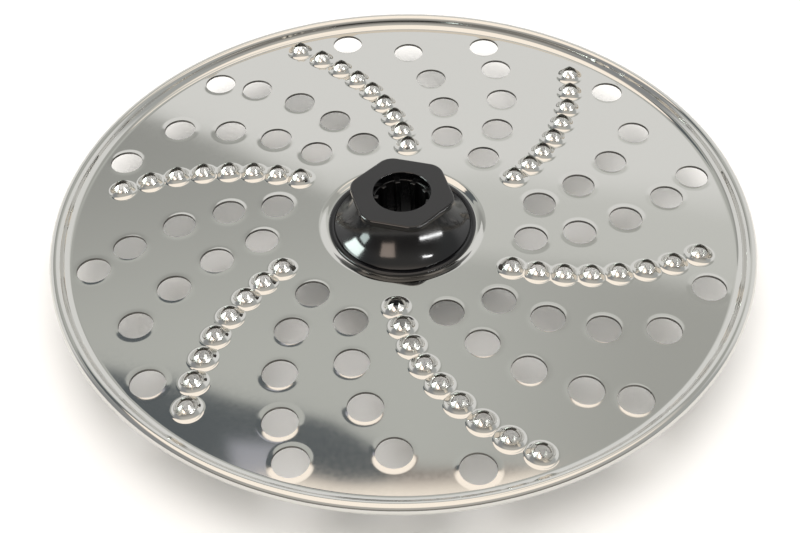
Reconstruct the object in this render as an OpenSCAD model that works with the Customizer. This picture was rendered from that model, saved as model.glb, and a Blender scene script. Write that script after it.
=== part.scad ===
// Grating disc for a food processor: a pressed steel sheet with a rolled rim,
// six curved rows of crown-shaped teeth and six pairs of rows of plain holes,
// clamped between the two halves of a moulded hub that slides onto a splined spindle.
// +Z is the spindle axis, and the origin is on that axis at the table under the hub.

/* [Disc] */
// Overall diameter over the rolled rim
disc_d = 177; // [150:0.5:220]
// Thickness of the steel sheet
sheet_t = 0.6; // [0.4:0.05:0.8]
// Height of the deck's upper face above the table
deck_z = 14; // [12:0.5:24]

/* [Rim] */
// Width of the rim, from the flat deck to the outer edge
rim_w = 5.2; // [4.4:0.1:7]
// Height of the rim's crest above the deck
rim_rise = 2.9; // [2:0.1:4]
// Outer radius of the rolled edge in section
rim_roll_r = 1.5; // [1.1:0.1:1.9]
// How far past its lowest point the rolled edge curls back, in degrees
rim_curl = 50; // [0:5:70]

/* [Hub seat in the sheet] */
// Margin of the flat seat pressed into the sheet, past the seat ring
seat_edge = 0.2; // [0.1:0.05:1]
// Depth of the seat below the deck
seat_drop = 0.5; // [0.3:0.05:1.2]
// Width of the slope between the seat and the deck
seat_slope_w = 2.4; // [1.6:0.1:3.2]
// Clearance of the sheet's centre hole around the drive sleeve
centre_gap = 0.4; // [0.2:0.05:0.8]

/* [Rows] */
// Diameter of the circle, through the axis, that every row lies on
row_circle_d = 125; // [110:1:200]
// Direction in which the first row of teeth leaves the axis, in degrees
row_turn = 12.7; // [0:0.1:60]
// Number of rows of teeth
row_count = 6; // [3:1:6]

/* [Teeth] */
// Plain part of the deck between the hub seat and the axis of the first tooth
tooth_start = 8.3; // [6:0.1:16]
// Radial pitch of the teeth in a row
tooth_pitch = 6.12; // [6:0.02:9]
// Least distance of a tooth's axis from the rim
tooth_margin = 4; // [3.5:0.1:8]
// Radius of a tooth where it leaves the sheet
tooth_base_r = 3.05; // [2.6:0.05:3.1]
// Radius of a tooth's shoulder, where the petals begin
tooth_neck_r = 2.45; // [2:0.05:2.5]
// Radius of the ring of petal tips
tooth_tip_r = 1.6; // [1.2:0.05:1.9]
// Height of the petal tips above the deck
tooth_h = 2.7; // [1.8:0.1:3.5]
// Height above the deck at which the slits between petals start
tooth_slit_z = 0.9; // [0.7:0.05:1.1]
// Wall of the drawn teeth
tooth_wall = 0.4; // [0.3:0.05:0.5]

/* [Plain holes] */
// Radius of a plain hole
hole_r = 4.2; // [2.5:0.1:4.8]
// Plain part of the deck between the hub seat and the centre of the first hole
hole_start = 11.6; // [9:0.1:18]
// Radial pitch of the holes in a row
hole_pitch = 12; // [11:0.5:18]
// How much further out the second row of a pair starts
hole_stagger = 3; // [0:0.5:6]
// Distance of the outermost holes' centres from the rim
hole_margin = 5.3; // [5:0.1:10]

/* [Upper hub] */
// Height of the hub's top face above the deck
hub_rise = 10.5; // [9:0.1:16]
// Least wall of the hexagonal collar around the bore
collar_wall = 4.85; // [4:0.05:6]
// Rounding of the collar's corners
collar_corner_r = 4.5; // [1:0.1:6]
// Thickness of the collar
collar_h = 2; // [1.5:0.1:3]
// Chamfer on the collar's corners
collar_chamfer = 0.35; // [0.1:0.05:0.6]
// Direction of one of the collar's corners, in degrees
collar_turn = 45; // [0:1:60]
// How far the collar's flats stand out past the bell
collar_step = 0.3; // [0.1:0.05:0.8]
// Distance from the circle of screws to the bell's foot
bell_margin = 4.8; // [4.3:0.1:8]
// Wall of the bell
bell_wall = 1.7; // [1.4:0.1:2.2]

/* [Spindle bore] */
// Radius of the plain bore at the top
bore_r = 7.25; // [6.8:0.05:7.5]
// Length of the plain bore above the splines
bore_lip = 2.4; // [1.5:0.1:3]
// How far the bore between the splines stands in from the plain bore
root_step = 0.25; // [0.2:0.05:0.4]
// Height of the splines
spline_h = 1; // [0.5:0.05:1.2]
// Width of a spline
spline_w = 1.4; // [0.8:0.1:2]
// Number of splines
spline_count = 10; // [6:1:12]
// Direction of one spline, in degrees
spline_turn = 27; // [0:1:60]
// How much wider in radius the plain socket at the bottom is than the bore
socket_step = 0.35; // [0.2:0.05:0.9]
// Depth of the plain socket at the bottom
socket_h = 3; // [2:0.1:4]

/* [Drive sleeve] */
// Wall of the sleeve around the bore
sleeve_wall = 1.25; // [1:0.05:1.6]
// How far the flats of the sleeve's hexagonal flange stand out past the sleeve
flange_step = 1; // [0.6:0.1:1.4]
// Thickness of the sleeve's flange
flange_h = 2; // [1.5:0.1:2.6]
// Radial clearance of the sleeve in both hub halves
sleeve_gap = 0.1; // [0.05:0.01:0.2]

/* [Seat ring] */
// Width of the bead outside the bell's foot
ring_bead_w = 1.45; // [1:0.05:2.5]
// Height of the ring's bead
ring_h = 0.6; // [0.45:0.05:1.3]
// Thickness of the shelf that the bell's foot stands on
ring_shelf_h = 0.3; // [0.2:0.05:0.4]
// Width of the shelf that the bell's foot covers
ring_shelf_w = 1.3; // [0.8:0.1:1.8]
// Gap between the bell's foot and the bead
ring_gap = 0.15; // [0.1:0.05:0.4]

/* [Lower hub] */
// Thickness of the clamping flange under the sheet
clamp_h = 1.8; // [1.4:0.1:2.4]
// How far the flange stands out past the skirt
clamp_edge = 2; // [1:0.1:2.2]
// How much the skirt narrows towards the table
skirt_draft = 0.5; // [0.2:0.1:0.6]
// Wall of the skirt
skirt_wall = 1.6; // [1.2:0.1:1.8]
// Thickness of the ribs under the flange
rib_t = 1.2; // [0.8:0.1:2]

/* [Hub screws] */
// Number of screws
screw_count = 3; // [2:1:4]
// Distance from the sheet's centre hole to the circle of screws
screw_margin = 3.5; // [3.2:0.05:4.2]
// Direction of the first screw, in degrees
screw_turn = 75; // [0:1:120]
// Radius of a screw's shank
screw_r = 1.25; // [1:0.05:1.3]
// Radius of a screw's head
screw_head_r = 2.5; // [2:0.05:2.6]
// Height of a screw's head
screw_head_h = 1.8; // [1.2:0.1:2.2]
// Height of the face under the head above the table
screw_seat_z = 7.5; // [6:0.1:8]
// Length of thread in the upper hub
screw_grip = 3.6; // [3:0.1:4]
// Radius of the driver socket in a head
screw_drive_r = 1.1; // [0.8:0.05:1.2]

/* [Hidden] */

$fn = 72;
// Overshoot of a cutting shape past the face it cuts
cut = 0.5;
// Gap around a screw's shank and head
screw_gap = 0.1;
// Spare depth of a blind hole past a screw's point
point_gap = 0.3;

// Radii about the spindle axis, from the bore outwards
spline_root_r = bore_r - root_step;
spline_tip_r = spline_root_r - spline_h;
socket_r = bore_r + socket_step;
sleeve_r = bore_r + sleeve_wall;
flange_af = 2 * (sleeve_r + flange_step);
centre_hole_r = sleeve_r + centre_gap;
collar_af = 2 * (bore_r + collar_wall);
bell_neck_r = collar_af / 2 - collar_step;
screw_circle_r = centre_hole_r + screw_margin;
bell_foot_r = screw_circle_r + bell_margin;
ring_r = bell_foot_r + ring_gap + ring_bead_w;
seat_r = ring_r + seat_edge;
deck_in_r = seat_r + seat_slope_w;
skirt_top_r = ring_r - clamp_edge;
skirt_foot_r = skirt_top_r - skirt_draft;

// Sheet, measured from the deck's upper face
rim_roll_c = [disc_d / 2 - rim_roll_r, rim_rise - rim_roll_r];
deck_r = disc_d / 2 - rim_w;
rim_run = rim_roll_c.x - deck_r;
rim_fillet_r = (rim_run ^ 2 + rim_roll_c.y ^ 2 - rim_roll_r ^ 2) / (2 * (rim_roll_r + rim_roll_c.y));
rim_meet = atan2(rim_roll_c.y - rim_fillet_r, rim_run);
seat_bend_r = (seat_slope_w ^ 2 + seat_drop ^ 2) / (4 * seat_drop);
seat_bend = asin(seat_slope_w / (2 * seat_bend_r));

// Levels above the table
seat_z = deck_z - seat_drop;
clamp_z = seat_z - sheet_t;
hub_top_z = deck_z + hub_rise;
collar_z = hub_top_z - collar_h;
shelf_z = seat_z + ring_shelf_h;
sleeve_top_z = hub_top_z - bore_lip;

// Upper hub
bell_root_r = bell_foot_r - ring_shelf_w;
bell_edge_h = 0.35;
bell_hollow_in = 0.6;
core_r = sleeve_r + sleeve_gap;
core_wall = 1.4;
core_roof = 2;
boss_r = screw_r + 1.2;

// Lower hub
pocket_af = flange_af + 2 * sleeve_gap;
screw_well_r = screw_head_r + screw_gap;
well_boss_r = screw_well_r + 0.6;
foot_lift = 1;

// Points on an arc, from one angle to another
function arc(centre, r, from, to, steps) =
    [for (i = [0 : steps]) let (a = from + (to - from) * i / steps) centre + r * [cos(a), sin(a)]];

// Points on a curve pulled towards one handle
function bend(start, handle, end, steps) =
    [for (i = [0 : steps]) let (u = i / steps)
        (1 - u) ^ 2 * start + 2 * u * (1 - u) * handle + u ^ 2 * end];

function reversed(points) = [for (i = [len(points) - 1 : -1 : 0]) points[i]];

// One face of the sheet from the centre hole to the end of the rolled edge, at a depth under the upper face
function sheet_face(depth) = concat(
    [[centre_hole_r, -seat_drop - depth]],
    arc([seat_r, seat_bend_r - seat_drop], seat_bend_r + depth, -90, seat_bend - 90, 3),
    arc([deck_in_r, -seat_bend_r], seat_bend_r - depth, seat_bend + 90, 90, 3),
    arc([deck_r, rim_fillet_r], rim_fillet_r + depth, -90, rim_meet, 4),
    arc(rim_roll_c, rim_roll_r - depth, 180 + rim_meet, -90 - rim_curl, 14));

// Place, on the row that starts in a given direction, at a given radius
function on_row(r, start) = let (a = start + asin(r / row_circle_d)) [r * cos(a), r * sin(a)];

// Radii of the teeth in one row; three neighbouring rows are staggered by a third of the pitch
function tooth_radii(row) = let (
        first = deck_in_r + tooth_start + tooth_pitch * ((row + 2) % 3) / 3,
        last = floor((deck_r - tooth_margin - first) / tooth_pitch))
    [for (j = [0 : last]) first + tooth_pitch * j];

tooth_places = [for (row = [0 : row_count - 1]) for (r = tooth_radii(row))
    on_row(r, row_turn + row * 360 / row_count)];

// Radii of the holes: two staggered rows between neighbouring rows of teeth, and the outer circle of holes
hole_first_r = deck_in_r + hole_start;
hole_last_r = deck_r - hole_margin;
hole_radii_a = concat(
    [for (r = [hole_first_r : hole_pitch : hole_last_r - 0.75 * hole_pitch]) r],
    [hole_last_r]);
hole_radii_b = [for (r = [hole_first_r + hole_stagger : hole_pitch : hole_last_r - 0.5 * hole_pitch]) r];

// Share of the angle between two rows of teeth at which each row of holes starts
hole_share_a = 1 / 3;
hole_share_b = 2 / 3;
hole_share_edge = 5 / 6;

hole_places = [for (row = [0 : row_count - 1]) let (step = 360 / row_count, start = row_turn + row * step)
    each concat(
        [for (r = hole_radii_a) on_row(r, start + step * hole_share_a)],
        [for (r = hole_radii_b) on_row(r, start + step * hole_share_b)],
        [on_row(hole_last_r, start + step * hole_share_edge)])];

screw_places = [for (i = [0 : screw_count - 1]) let (a = screw_turn + i * 360 / screw_count)
    screw_circle_r * [cos(a), sin(a)]];

module at_each(places, z = 0) {
    for (p = places) translate([p.x, p.y, z]) children();
}

module ring_of(count, turn) {
    for (i = [0 : count - 1]) rotate(turn + i * 360 / count) children();
}

module hexagonal_prism(af, h) {
    cylinder(r = af / sqrt(3), h = h, $fn = 6);
}

module rounded_hexagon(af, r) {
    inner_r = (af / 2 - r) * 2 / sqrt(3);
    polygon([for (a = [0 : 60 : 300]) each arc(inner_r * [cos(a), sin(a)], r, a - 30, a + 30, 8)]);
}

// Sheet

module pressed_sheet() {
    rotate_extrude($fn = 144) polygon(concat(sheet_face(0), reversed(sheet_face(sheet_t))));
}

tooth_petals = 5;
tooth_petal_tip = 0.12;
tooth_foot_z = 0.25;
tooth_foot_r = (tooth_base_r + tooth_neck_r) / 2;

module tooth_body() {
    rotate_extrude() polygon([
        [0, -sheet_t / 2], [tooth_base_r, -sheet_t / 2], [tooth_base_r, 0], [tooth_foot_r, tooth_foot_z],
        [tooth_neck_r, tooth_slit_z], [tooth_tip_r, tooth_h], [0, tooth_h]]);
}

module tooth_bore() {
    rotate_extrude() polygon([
        [0, -sheet_t - cut], [tooth_base_r - tooth_wall / 2, -sheet_t - cut],
        [tooth_base_r - tooth_wall / 2, -sheet_t],
        [tooth_foot_r - tooth_wall, tooth_foot_z], [tooth_neck_r - tooth_wall, tooth_slit_z],
        [tooth_tip_r - tooth_wall, tooth_h + cut / 4], [0, tooth_h + cut / 4]]);
}

// Wedge that opens upwards and leaves a petal on each side
module tooth_slit() {
    half_w = tooth_tip_r * tan(180 / tooth_petals) - tooth_petal_tip;
    over = 1 + cut / (tooth_h - tooth_slit_z);
    rotate([90, 0, 90]) linear_extrude(height = tooth_base_r) polygon([
        [0, tooth_slit_z],
        [half_w * over, tooth_slit_z + (tooth_h - tooth_slit_z) * over],
        [-half_w * over, tooth_slit_z + (tooth_h - tooth_slit_z) * over]]);
}

module grating_disc() {
    color([0.78, 0.78, 0.76]) translate([0, 0, deck_z]) difference() {
        union() {
            pressed_sheet();
            at_each(tooth_places) tooth_body();
        }
        at_each(tooth_places) tooth_bore();
        at_each(tooth_places) ring_of(tooth_petals, 90 + 180 / tooth_petals) tooth_slit();
        at_each(hole_places, -sheet_t - cut) cylinder(r = hole_r, h = sheet_t + 2 * cut);
        at_each(screw_places, -seat_drop - sheet_t - cut)
            cylinder(r = screw_r + 3 * screw_gap, h = sheet_t + 2 * cut);
    }
}

// Hub

// Outline of the bell, set in by a wall, from the edge of its foot to under the collar
function bell_curve(wall) = bend(
    [bell_foot_r - wall, shelf_z + bell_edge_h],
    [(bell_neck_r + bell_foot_r) / 2 - wall - bell_hollow_in, deck_z + hub_rise / 4],
    [bell_neck_r - wall, collar_z], 8);

module bell() {
    rotate_extrude() polygon(concat(
        [[0, seat_z], [bell_root_r, seat_z], [bell_root_r, shelf_z], [bell_foot_r, shelf_z]],
        bell_curve(0), [[0, collar_z]]));
}

module collar() {
    reach = collar_af / sqrt(3) - collar_corner_r * (2 / sqrt(3) - 1);
    chamfer_r = reach - collar_chamfer;
    translate([0, 0, collar_z]) intersection() {
        linear_extrude(height = collar_h) rotate(collar_turn) rounded_hexagon(collar_af, collar_corner_r);
        rotate_extrude() polygon([
            [0, 0], [chamfer_r, 0], [chamfer_r + collar_h / 2, collar_h / 2], [chamfer_r, collar_h],
            [0, collar_h]]);
    }
}

// Hollow under the bell, around the sleeve's wall, that keeps the moulding even
module bell_hollow() {
    difference() {
        intersection() {
            rotate_extrude() polygon(concat(
                [[0, seat_z - cut], [bell_foot_r - bell_wall, seat_z - cut]], bell_curve(bell_wall),
                [[0, collar_z]]));
            translate([0, 0, seat_z - cut])
                cylinder(r = bell_root_r - bell_wall, h = collar_z - core_roof - seat_z + cut);
        }
        translate([0, 0, seat_z - 2 * cut]) cylinder(r = core_r + core_wall, h = hub_rise + 2 * cut);
        at_each(screw_places, seat_z - 2 * cut) cylinder(r = boss_r, h = hub_rise + 2 * cut);
    }
}

module upper_hub() {
    color([0.07, 0.07, 0.08]) difference() {
        union() {
            bell();
            collar();
        }
        bell_hollow();
        translate([0, 0, seat_z - cut]) cylinder(r = core_r, h = sleeve_top_z - seat_z + cut);
        translate([0, 0, seat_z]) cylinder(r = bore_r, h = hub_top_z - seat_z + cut);
        at_each(screw_places, seat_z - cut)
            cylinder(r = screw_r + screw_gap, h = screw_grip + point_gap + cut);
    }
}

module seat_ring() {
    bead_in_r = bell_foot_r + ring_gap;
    bead_r = (ring_r - bead_in_r) / 2;
    color([0.05, 0.05, 0.055]) translate([0, 0, seat_z]) rotate_extrude() polygon(concat(
        [[bell_root_r + ring_gap, 0], [ring_r, 0]],
        [for (p = arc([0, 0], 1, 0, 180, 8))
            [bead_in_r + bead_r * (1 + p.x), ring_shelf_h + (ring_h - ring_shelf_h) * p.y]],
        [[bell_root_r + ring_gap, ring_shelf_h]]));
}

module drive_sleeve() {
    h = sleeve_top_z - socket_h;
    color([0.12, 0.12, 0.13]) translate([0, 0, socket_h]) {
        difference() {
            union() {
                cylinder(r = sleeve_r, h = h);
                translate([0, 0, clamp_z - flange_h - socket_h])
                    rotate(screw_turn + 30) hexagonal_prism(flange_af, flange_h);
            }
            translate([0, 0, -cut]) cylinder(r = spline_root_r, h = h + 2 * cut);
        }
        ring_of(spline_count, spline_turn) translate([spline_tip_r, -spline_w / 2, 0])
            cube([(spline_root_r + sleeve_r) / 2 - spline_tip_r, spline_w, h]);
    }
}

module lower_hub_shell() {
    rotate_extrude() polygon([
        [0, 0], [skirt_foot_r, 0], [skirt_top_r, clamp_z - clamp_h],
        [ring_r, clamp_z - clamp_h], [ring_r, clamp_z], [0, clamp_z]]);
}

// Hollow under the flange, open at the table, around the sleeve's wall, the screw wells and the ribs
module lower_hub_hollow() {
    h = clamp_z - clamp_h;
    difference() {
        rotate_extrude() polygon([
            [0, -cut], [skirt_foot_r - skirt_wall, -cut], [skirt_top_r - skirt_wall, h], [0, h]]);
        translate([0, 0, foot_lift]) cylinder(r = core_r + core_wall, h = h);
        at_each(screw_places, foot_lift) cylinder(r = well_boss_r, h = h);
        ring_of(screw_count, screw_turn + 180 / screw_count)
            translate([0, -rib_t / 2, foot_lift]) cube([skirt_top_r, rib_t, h]);
    }
}

module lower_hub() {
    color([0.07, 0.07, 0.08]) difference() {
        lower_hub_shell();
        lower_hub_hollow();
        translate([0, 0, socket_h]) cylinder(r = core_r, h = clamp_z);
        cylinder(r = socket_r, h = clamp_z);
        translate([0, 0, clamp_z - flange_h]) rotate(screw_turn + 30)
            hexagonal_prism(pocket_af, flange_h + cut);
        at_each(screw_places) cylinder(r = screw_well_r, h = screw_seat_z);
        at_each(screw_places) cylinder(r = screw_r + 2 * screw_gap, h = clamp_z + cut);
    }
}

module hub_screw() {
    difference() {
        union() {
            translate([0, 0, -screw_head_h]) cylinder(r = screw_head_r, h = screw_head_h);
            cylinder(r = screw_r, h = seat_z + screw_grip - screw_seat_z);
        }
        translate([0, 0, -screw_head_h - cut])
            cylinder(r = screw_drive_r, h = cut + 0.6 * screw_head_h, $fn = 6);
    }
}

module hub_screws() {
    color([0.6, 0.6, 0.6]) at_each(screw_places, screw_seat_z) hub_screw();
}

grating_disc();
upper_hub();
seat_ring();
drive_sleeve();
lower_hub();
hub_screws();
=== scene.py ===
"""Visual model of a grating disc with a clamped hub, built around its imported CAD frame.

The object's sizes are in millimetres in the code and become metres when a mesh is made.
"""

import logging
import math
from collections.abc import Callable, Sequence
from dataclasses import dataclass
from enum import Enum

import bmesh
import bpy
from mathutils import Matrix, Vector
from mathutils.geometry import delaunay_2d_cdt


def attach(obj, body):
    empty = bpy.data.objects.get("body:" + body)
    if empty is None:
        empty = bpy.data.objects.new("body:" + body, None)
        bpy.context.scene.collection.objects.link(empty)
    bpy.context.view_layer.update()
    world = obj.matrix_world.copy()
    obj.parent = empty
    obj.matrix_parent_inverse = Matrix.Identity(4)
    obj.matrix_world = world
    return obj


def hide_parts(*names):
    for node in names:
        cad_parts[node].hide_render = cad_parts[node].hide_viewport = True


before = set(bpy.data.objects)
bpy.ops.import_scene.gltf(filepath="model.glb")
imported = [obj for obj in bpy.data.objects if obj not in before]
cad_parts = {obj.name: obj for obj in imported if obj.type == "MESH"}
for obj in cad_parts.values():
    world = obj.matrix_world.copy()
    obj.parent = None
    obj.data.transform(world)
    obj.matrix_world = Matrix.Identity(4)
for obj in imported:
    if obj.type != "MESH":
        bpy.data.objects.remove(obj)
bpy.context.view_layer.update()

MM = 0.001
BODY = "root"
# Name of the attribute that marks the faces that punching tore, which get the dark edge steel with its
# painted shade
TORN = "torn"
# Span that most of a noise's values lie in
NOISE_LOW, NOISE_HIGH = 0.3, 0.7
LOG = logging.getLogger("grating_disc")

Point2 = tuple[float, float]
# Values where a change begins and ends
Span = tuple[float, float]
Value = object
# A hole or tooth: its centre, its outer radius, its height rule and whether it is a tooth
Feature = tuple[Point2, float, Callable[[float], float], bool]


# Small tools


def linear(hex_colour: str) -> tuple[float, float, float, float]:
    """Turns an sRGB hex colour into linear red, green, blue and alpha."""
    channels = [int(hex_colour[i : i + 2], 16) / 255 for i in (1, 3, 5)]
    red, green, blue = (c / 12.92 if c <= 0.04045 else ((c + 0.055) / 1.055) ** 2.4 for c in channels)
    return red, green, blue, 1.0


def add(tree: bpy.types.NodeTree, kind: str, inputs: dict[str | int, Value] | None = None,
        **settings: Value) -> bpy.types.Node:
    """Adds a node with its settings, its values and the links into it.

    A value that is a node stands for that node's first output.

    Args:
        tree: Node tree that gets the node.
        kind: Blender's name of the node type.
        inputs: Value or source socket for each input, by name or index.
        settings: Properties of the node.

    Returns:
        The new node.
    """
    made = tree.nodes.new(kind)
    for key, value in settings.items():
        setattr(made, key, value)
    for key, value in (inputs or {}).items():
        if isinstance(value, bpy.types.Node):
            value = value.outputs[0]
        if isinstance(value, bpy.types.NodeSocket):
            tree.links.new(value, made.inputs[key])
        else:
            made.inputs[key].default_value = value
    return made


def circle(centre: Point2, radius: float, count: int, turn: float = 0.0) -> list[Point2]:
    """Returns points evenly round a circle, the first of them at the given turn in radians."""
    step = 2 * math.pi / count
    return [(centre[0] + radius * math.cos(turn + i * step), centre[1] + radius * math.sin(turn + i * step))
            for i in range(count)]


def plain_mesh(name: str, points: Sequence[Sequence[float]],
               faces: Sequence[Sequence[int]]) -> bpy.types.Mesh:
    """Makes a smooth mesh in metres from points in millimetres."""
    mesh = bpy.data.meshes.new(name)
    mesh.from_pydata([tuple(c * MM for c in p) for p in points], [], faces)
    mesh.shade_smooth()
    return mesh


def linked(name: str, mesh: bpy.types.Mesh) -> bpy.types.Object:
    """Puts a mesh into the scene as an object at the origin."""
    obj = bpy.data.objects.new(name, mesh)
    bpy.context.scene.collection.objects.link(obj)
    return obj


def settled(obj: bpy.types.Object, sharp_deg: float = 40.0) -> bpy.types.Object:
    """Replaces an object by the plain mesh that its modifiers give.

    Edges that bend more than the given degrees are shaded sharp.
    """
    graph = bpy.context.evaluated_depsgraph_get()
    mesh = bpy.data.meshes.new_from_object(obj.evaluated_get(graph))
    obj.modifiers.clear()
    obj.data = mesh
    mesh.name = obj.name
    mesh.shade_smooth()
    mesh.set_sharp_from_angle(angle=math.radians(sharp_deg))
    return obj


def outward(mesh: bpy.types.Mesh, merge_mm: float = 0.0005) -> bpy.types.Mesh:
    """Merges a closed mesh's nearly equal points and turns its faces outwards."""
    work = bmesh.new()
    work.from_mesh(mesh)
    bmesh.ops.remove_doubles(work, verts=work.verts, dist=merge_mm * MM)
    bmesh.ops.recalc_face_normals(work, faces=work.faces)
    work.to_mesh(mesh)
    work.free()
    return mesh


def hand_over(obj: bpy.types.Object, slot: str, *nodes: str) -> bpy.types.Object:
    """Makes a finished piece ride on the disc's body and stand for its CAD nodes, which are hidden."""
    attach(obj, BODY)
    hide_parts(*nodes)
    LOG.info("%s: %d faces", obj.name, len(obj.data.polygons))
    return obj


# Profiles turned or lofted about the spindle axis


class Outline(Enum):
    """Shape of a section across the spindle axis."""

    ROUND = "round"
    HEXAGON = "hexagon"


class Ends(Enum):
    """How the first and last sections of a loft are closed."""

    JOINED = "joined"
    CAPPED = "capped"


@dataclass(frozen=True)
class Corner:
    """Corner of a profile: its radius from the axis, its height and its rounding.

    On a hexagonal stretch the radius is half of the width across the flats.
    """

    r: float
    z: float
    rounding: float = 0.0
    outline: Outline = Outline.ROUND


@dataclass(frozen=True)
class Hexagon:
    """Turn and corner rounding of the hexagonal stretches of a profile."""

    turn_deg: float
    half_af: float
    corner_r: float
    least_corner_r: float = 0.05

    def reach(self, angle: float, half_af: float) -> float:
        """Returns the distance from the axis to the rounded hexagon, in a direction in radians.

        Half of the width across the flats is the one at this section.
        """
        corner_r = max(self.least_corner_r, self.corner_r - (self.half_af - half_af))
        third = math.pi / 3
        off = abs((angle - math.radians(self.turn_deg) + third / 2) % third - third / 2)
        centre = (half_af - corner_r) * 2 / math.sqrt(3)
        tangent = math.atan2(corner_r * 0.5, centre + corner_r * math.cos(math.pi / 6))
        if off > tangent:
            return half_af / math.cos(math.pi / 6 - off)
        return centre * math.cos(off) + math.sqrt(corner_r**2 - (centre * math.sin(off)) ** 2)


@dataclass(frozen=True)
class Loft:
    """Closed shape through sections across the axis, from a profile with rounded corners."""

    corners: Sequence[Corner]
    hexagon: Hexagon = Hexagon(0.0, 10.0, 1.0)
    ends: Ends = Ends.JOINED
    around: int = 144
    arc_steps: int = 4
    support: float = 0.04

    def stations(self) -> list[Corner]:
        """Draws out each rounding of the profile and holds it by support points."""
        found: list[Corner] = []
        count = len(self.corners)
        for i, corner in enumerate(self.corners):
            capped_end = self.ends is Ends.CAPPED and i in (0, count - 1)
            if corner.rounding == 0 or capped_end:
                found.append(corner)
                continue
            here = Vector((corner.r, corner.z))
            before, after = self.corners[i - 1], self.corners[(i + 1) % count]
            back = (Vector((before.r, before.z)) - here).normalized()
            ahead = (Vector((after.r, after.z)) - here).normalized()
            half = back.angle(ahead) / 2
            run = corner.rounding / math.tan(half)
            centre = here + (back + ahead).normalized() * corner.rounding / math.sin(half)
            start, end = here + back * run - centre, here + ahead * run - centre
            turn = start.angle_signed(end)
            arc = [centre + Matrix.Rotation(-turn * k / self.arc_steps, 2) @ start
                   for k in range(self.arc_steps + 1)]
            held = [here + back * (run + self.support), *arc, here + ahead * (run + self.support)]
            found += [Corner(p.x, p.y, 0.0, corner.outline) for p in held]
        return found

    def ring(self, station: Corner) -> list[tuple[float, float, float]]:
        """Draws the section through one point of the profile, in millimetres."""
        step = 2 * math.pi / self.around
        reach = [station.r if station.outline is Outline.ROUND else self.hexagon.reach(i * step, station.r)
                 for i in range(self.around)]
        return [(d * math.cos(i * step), d * math.sin(i * step), station.z) for i, d in enumerate(reach)]

    def mesh(self, name: str) -> bpy.types.Mesh:
        """Builds the closed mesh, with its faces outwards."""
        stations = self.stations()
        n = self.around
        points = [p for s in stations for p in self.ring(s)]
        pairs = len(stations) if self.ends is Ends.JOINED else len(stations) - 1
        faces: list[tuple[int, ...]] = []
        for k in range(pairs):
            low, high = k * n, (k + 1) % len(stations) * n
            faces += [(low + i, low + (i + 1) % n, high + (i + 1) % n, high + i) for i in range(n)]
        if self.ends is Ends.CAPPED:
            for first, station in ((0, stations[0]), (len(points) - n, stations[-1])):
                points.append((0.0, 0.0, station.z))
                faces += [(first + i, first + (i + 1) % n, len(points) - 1) for i in range(n)]
        return outward(plain_mesh(name, points, faces))

    def piece(self, name: str, sharp_deg: float, *materials: bpy.types.Material) -> bpy.types.Object:
        """Builds the object, shaded sharp where it bends more than the given degrees."""
        mesh = self.mesh(name)
        mesh.set_sharp_from_angle(angle=math.radians(sharp_deg))
        for material in materials:
            mesh.materials.append(material)
        return linked(name, mesh)


# Finishes


def finish_started(name: str, colour: str) -> tuple[bpy.types.Material, bpy.types.NodeTree, bpy.types.Node,
                                                    bpy.types.NodeSocket]:
    """Starts a material with its colour, for patterns that lie still on the piece.

    Returns the material, its tree, its shader, and the place on the object.
    """
    made = bpy.data.materials.new(name)
    made.use_nodes = True
    tree = made.node_tree
    shader = tree.nodes["Principled BSDF"]
    shader.inputs["Base Color"].default_value = linear(colour)
    return made, tree, shader, add(tree, "ShaderNodeTexCoord").outputs["Object"]


@dataclass(frozen=True)
class StainlessSheet:
    """Bright annealed stainless steel, rolled and pressed.

    It gives the eye a soft mirror: edges of what it reflects stay visible but blur a little, and
    the slow waves that pressing leaves in a thin sheet bend them.
    """

    name: str = "bright_annealed_stainless_steel"
    colour: str = "#CECDC9"
    roughness: float = 0.045
    grain_roughness: float = 0.015
    wave_mm: float = 22.0
    wave_height_mm: float = 0.03
    grain_mm: float = 1.1

    def material(self) -> bpy.types.Material:
        """Builds the material."""
        made, tree, shader, place = finish_started(self.name, self.colour)
        wave = add(tree, "ShaderNodeTexNoise",
                   {"Vector": place, "Scale": 1 / (self.wave_mm * MM), "Detail": 1.0})
        # The rolled grain is far finer than this, and is drawn this coarse to show at all
        grain = add(tree, "ShaderNodeTexNoise",
                    {"Vector": place, "Scale": 1 / (self.grain_mm * MM), "Detail": 2.0, "Roughness": 0.6})
        rough = add(tree, "ShaderNodeMapRange",
                    {"Value": grain, "From Min": NOISE_LOW, "From Max": NOISE_HIGH,
                     "To Min": self.roughness, "To Max": self.roughness + self.grain_roughness})
        bump = add(tree, "ShaderNodeBump",
                   {"Height": wave, "Distance": self.wave_height_mm * MM, "Strength": 1.0})
        shader.inputs["Metallic"].default_value = 1.0
        tree.links.new(rough.outputs["Result"], shader.inputs["Roughness"])
        tree.links.new(bump.outputs["Normal"], shader.inputs["Normal"])
        return made


@dataclass(frozen=True)
class BareSteel:
    """Unpolished steel, which stays dull, with the fine marks of how it was parted or turned."""

    name: str
    colour: str
    roughness: float
    roughness_change: float
    mark_mm: float

    def material(self) -> bpy.types.Material:
        """Builds the material."""
        made, tree, shader, place = finish_started(self.name, self.colour)
        marks = add(tree, "ShaderNodeTexNoise",
                    {"Vector": place, "Scale": 1 / (self.mark_mm * MM), "Detail": 2.0})
        rough = add(tree, "ShaderNodeMapRange",
                    {"Value": marks, "To Min": self.roughness - self.roughness_change,
                     "To Max": self.roughness + self.roughness_change})
        shader.inputs["Metallic"].default_value = 1.0
        tree.links.new(rough.outputs["Result"], shader.inputs["Roughness"])
        return made


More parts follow.
